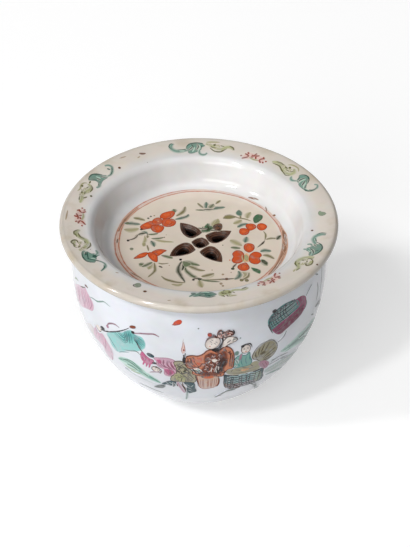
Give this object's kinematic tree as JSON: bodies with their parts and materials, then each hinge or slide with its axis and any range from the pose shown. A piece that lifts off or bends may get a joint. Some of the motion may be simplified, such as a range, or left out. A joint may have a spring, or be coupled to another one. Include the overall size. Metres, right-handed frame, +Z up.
{
  "type": "cricket box",
  "caption": "Round porcelain box for keeping a cricket, with a foot ring and a dished lift-off cover pierced with a four-petal flower.",
  "frame": {"origin": "centre of the face that the foot ring rests on", "axes": "+Z up along the axis of the bowl and cover, +Y away from the viewer of the picture"},
  "size_m": [0.11, 0.11, 0.0794],
  "materials": {
    "bowl_glaze": "glossy bluish-white glaze with painted overglaze enamels",
    "cover_glaze": "glossy cream-white glaze with painted overglaze enamels"
  },
  "bodies": {
    "bowl": {"bowl": "bowl_glaze"},
    "cover": {"cover": "cover_glaze"}
  },
  "joints": [
    {"name": "cover_lift", "type": "slide", "parent": "bowl", "child": "cover", "axis": [0, 0, 1], "range_m": [0, 0.06]}
  ]
}
